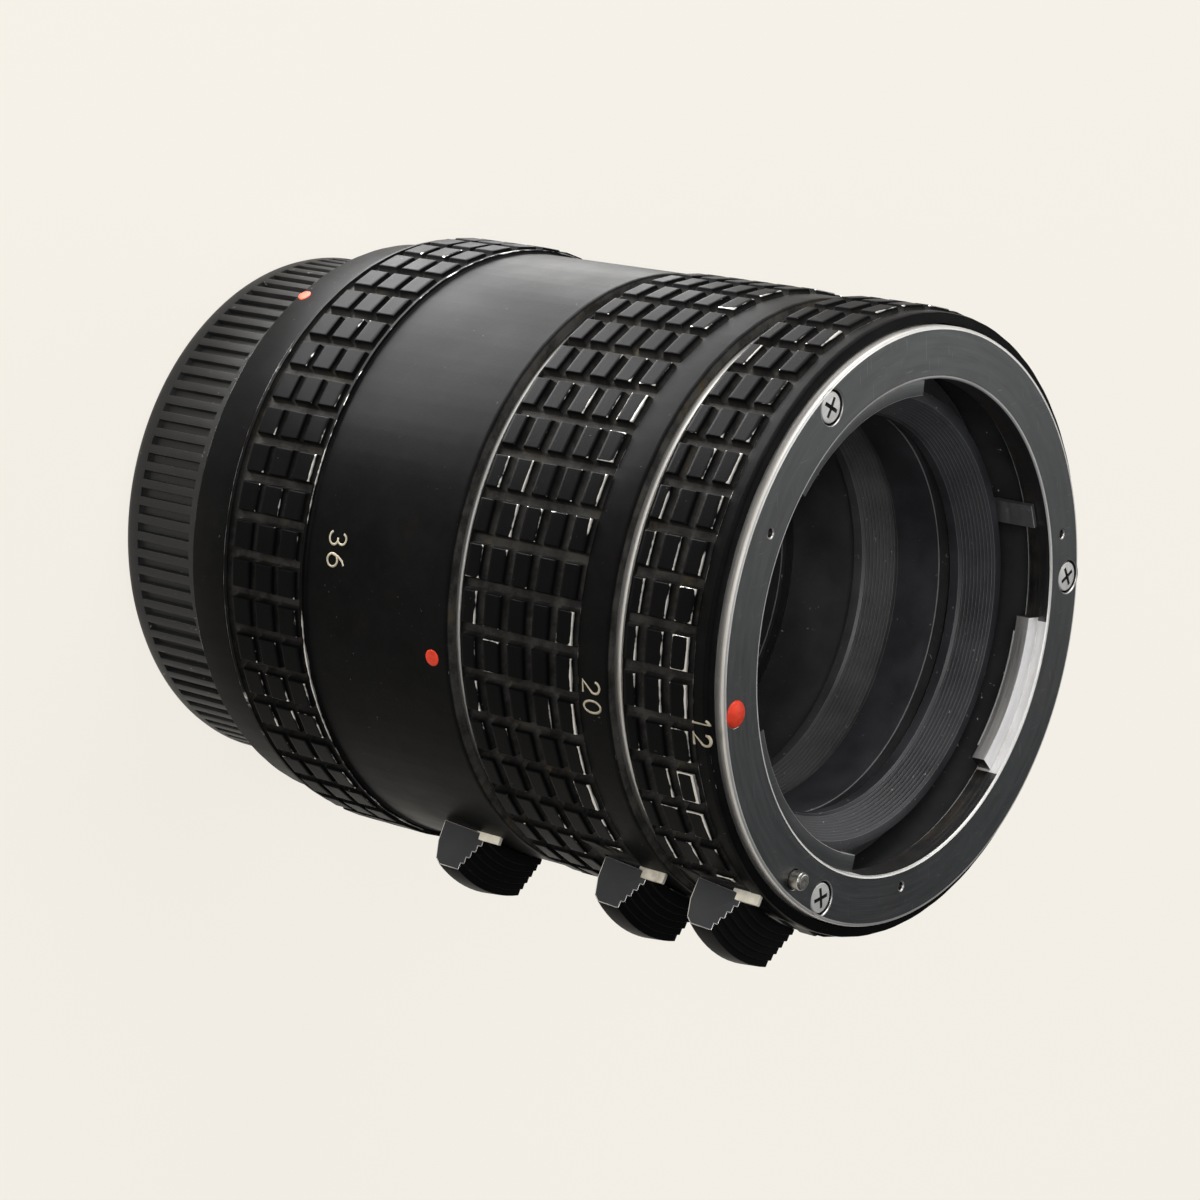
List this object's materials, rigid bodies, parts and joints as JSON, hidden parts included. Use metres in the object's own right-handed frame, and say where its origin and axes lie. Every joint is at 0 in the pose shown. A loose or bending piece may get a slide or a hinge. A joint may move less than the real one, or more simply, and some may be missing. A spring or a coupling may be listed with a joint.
{
  "type": "lens_extension_tube_set",
  "caption": "Stacked black lens extension tubes with block grips, chrome bayonet mount, sprung lock knobs and ribbed rear cap",
  "frame": {"origin": "centre of the underside of the rear cap, which the set stands on", "axes": "+Z along the optical axis to the lens side, -Y through the red mounting index"},
  "size_m": [0.0631, 0.0626, 0.0825],
  "materials": {
    "black_anodised": "satin black anodised",
    "mount_chrome": "brushed chrome plate, worn",
    "steel": "bright",
    "coupling_metal": "dull grey",
    "brass": "dull",
    "matt_black": "matt black against reflections",
    "knob_black": "black anodised, edges worn bright",
    "cap_plastic": "moulded matt black",
    "red_paint": "glossy red"
  },
  "bodies": {
    "tube_stack": {"barrel_dot_36": "red_paint", "rear_dot_36": "red_paint", "barrel_12": "black_anodised", "mount_plate_12": "mount_chrome", "index_dot_12": "red_paint", "plate_screws_12": "steel", "leaf_spring_12": "steel", "bayonet_ring_12": "mount_chrome", "ring_screws_12": "steel", "baffle_12": "matt_black", "pin_spring_12": "steel", "barrel_20": "black_anodised", "mount_plate_20": "mount_chrome", "index_dot_20": "red_paint", "plate_screws_20": "steel", "leaf_spring_20": "steel", "bayonet_ring_20": "mount_chrome", "ring_screws_20": "steel", "baffle_20": "matt_black", "pin_spring_20": "steel", "barrel_36": "black_anodised", "mount_plate_36": "mount_chrome", "index_dot_36": "red_paint", "plate_screws_36": "steel", "leaf_spring_36": "steel", "bayonet_ring_36": "mount_chrome", "ring_screws_36": "steel", "baffle_36": "matt_black", "pin_spring_36": "steel"},
    "lock_12": {"release_knob_12": "knob_black", "lock_pin_12": "steel", "slide_plate_12": "brass"},
    "coupler_12": {"coupling_ring_12": "coupling_metal"},
    "lock_20": {"release_knob_20": "knob_black", "lock_pin_20": "steel", "slide_plate_20": "brass"},
    "coupler_20": {"coupling_ring_20": "coupling_metal"},
    "lock_36": {"release_knob_36": "knob_black", "lock_pin_36": "steel", "slide_plate_36": "brass"},
    "coupler_36": {"coupling_ring_36": "coupling_metal"},
    "cap": {"rear_cap": "cap_plastic"}
  },
  "joints": [
    {"name": "lock_slide_12", "type": "slide", "parent": "tube_stack", "child": "lock_12", "axis": [0, 0, -1], "range_m": [0, 0.0019], "stiffness_N_per_m": 600, "springref_m": -0.002, "deforming": ["pin_spring_12"]},
    {"name": "coupling_12", "type": "hinge", "parent": "tube_stack", "child": "coupler_12", "pos_m": [0, 0, 0.0763], "axis": [0, 0, 1], "range_deg": [-20, 0], "stiffness_Nm_per_rad": 0.02, "springref_deg": 8.59},
    {"name": "lock_slide_20", "type": "slide", "parent": "tube_stack", "child": "lock_20", "axis": [0, 0, -1], "range_m": [0, 0.0019], "stiffness_N_per_m": 600, "springref_m": -0.002, "deforming": ["pin_spring_20"]},
    {"name": "coupling_20", "type": "hinge", "parent": "tube_stack", "child": "coupler_20", "pos_m": [0, 0, 0.0643], "axis": [0, 0, 1], "range_deg": [-20, 0], "stiffness_Nm_per_rad": 0.02, "springref_deg": 8.59},
    {"name": "lock_slide_36", "type": "slide", "parent": "tube_stack", "child": "lock_36", "axis": [0, 0, -1], "range_m": [0, 0.0019], "stiffness_N_per_m": 600, "springref_m": -0.002, "deforming": ["pin_spring_36"]},
    {"name": "coupling_36", "type": "hinge", "parent": "tube_stack", "child": "coupler_36", "pos_m": [0, 0, 0.0443], "axis": [0, 0, 1], "range_deg": [-20, 0], "stiffness_Nm_per_rad": 0.02, "springref_deg": 8.59},
    {"name": "cap_twist", "type": "hinge", "parent": "tube_stack", "child": "cap", "pos_m": [0, 0, 0.0065], "axis": [0, 0, 1], "range_deg": [-58, 0]}
  ],
  "couplings": [
    {"joint": "coupling_20", "follows": "coupling_36", "ratio": 1},
    {"joint": "coupling_12", "follows": "coupling_36", "ratio": 1}
  ]
}
